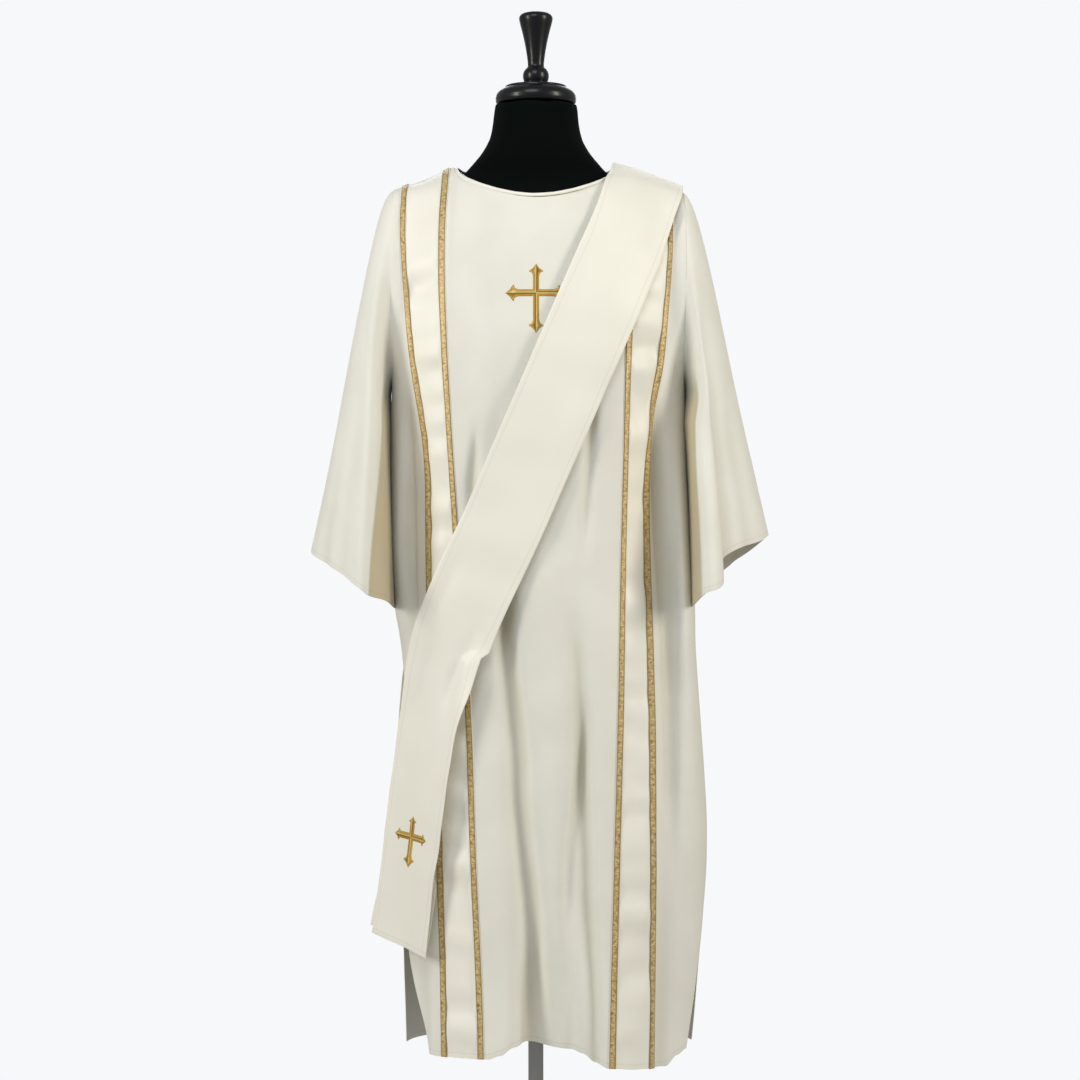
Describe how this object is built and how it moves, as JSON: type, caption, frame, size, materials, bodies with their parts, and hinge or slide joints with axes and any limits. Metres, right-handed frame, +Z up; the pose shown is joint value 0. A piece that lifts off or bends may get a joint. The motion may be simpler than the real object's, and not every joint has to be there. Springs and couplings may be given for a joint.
{
  "type": "dalmatic with matching stole on a dress form",
  "caption": "Ivory deacon's dalmatic with satin bands, gold braids and a diagonal stole, hollow and open at hem and cuffs, worn on a limbless dress form with pole and round base.",
  "frame": {"origin": "centre of the base plate's flat underside, on the floor", "axes": "+Z up; the front faces -Y; +X is the wearer's left, the viewer's right"},
  "size_m": [0.665, 0.352, 1.6745],
  "materials": {
    "crepe": "matt ivory crepe, fine plain weave",
    "satin": "cream satin with a soft sheen",
    "braid": "woven gold braid with a metallic thread",
    "embroidery": "padded gold thread embroidery",
    "jersey": "black knitted jersey",
    "lacquered_wood": "black gloss lacquer on turned wood",
    "steel": "grey steel"
  },
  "bodies": {
    "root": {"front_panel": "crepe", "back_panel": "crepe", "sleeve_left": "crepe", "sleeve_right": "crepe", "front_band_left": "satin", "front_braid_left_outer": "braid", "front_braid_left_inner": "braid", "front_band_right": "satin", "front_braid_right_outer": "braid", "front_braid_right_inner": "braid", "back_band_left": "satin", "back_braid_left_outer": "braid", "back_braid_left_inner": "braid", "back_band_right": "satin", "back_braid_right_outer": "braid", "back_braid_right_inner": "braid", "neck_binding": "satin", "stole_front": "satin", "stole_back": "satin", "chest_cross": "embroidery", "stole_cross": "embroidery", "form_torso": "jersey", "neck_cap": "lacquered_wood", "finial": "lacquered_wood", "pole": "steel", "base_plate": "steel", "base_collar": "steel"}
  },
  "joints": []
}
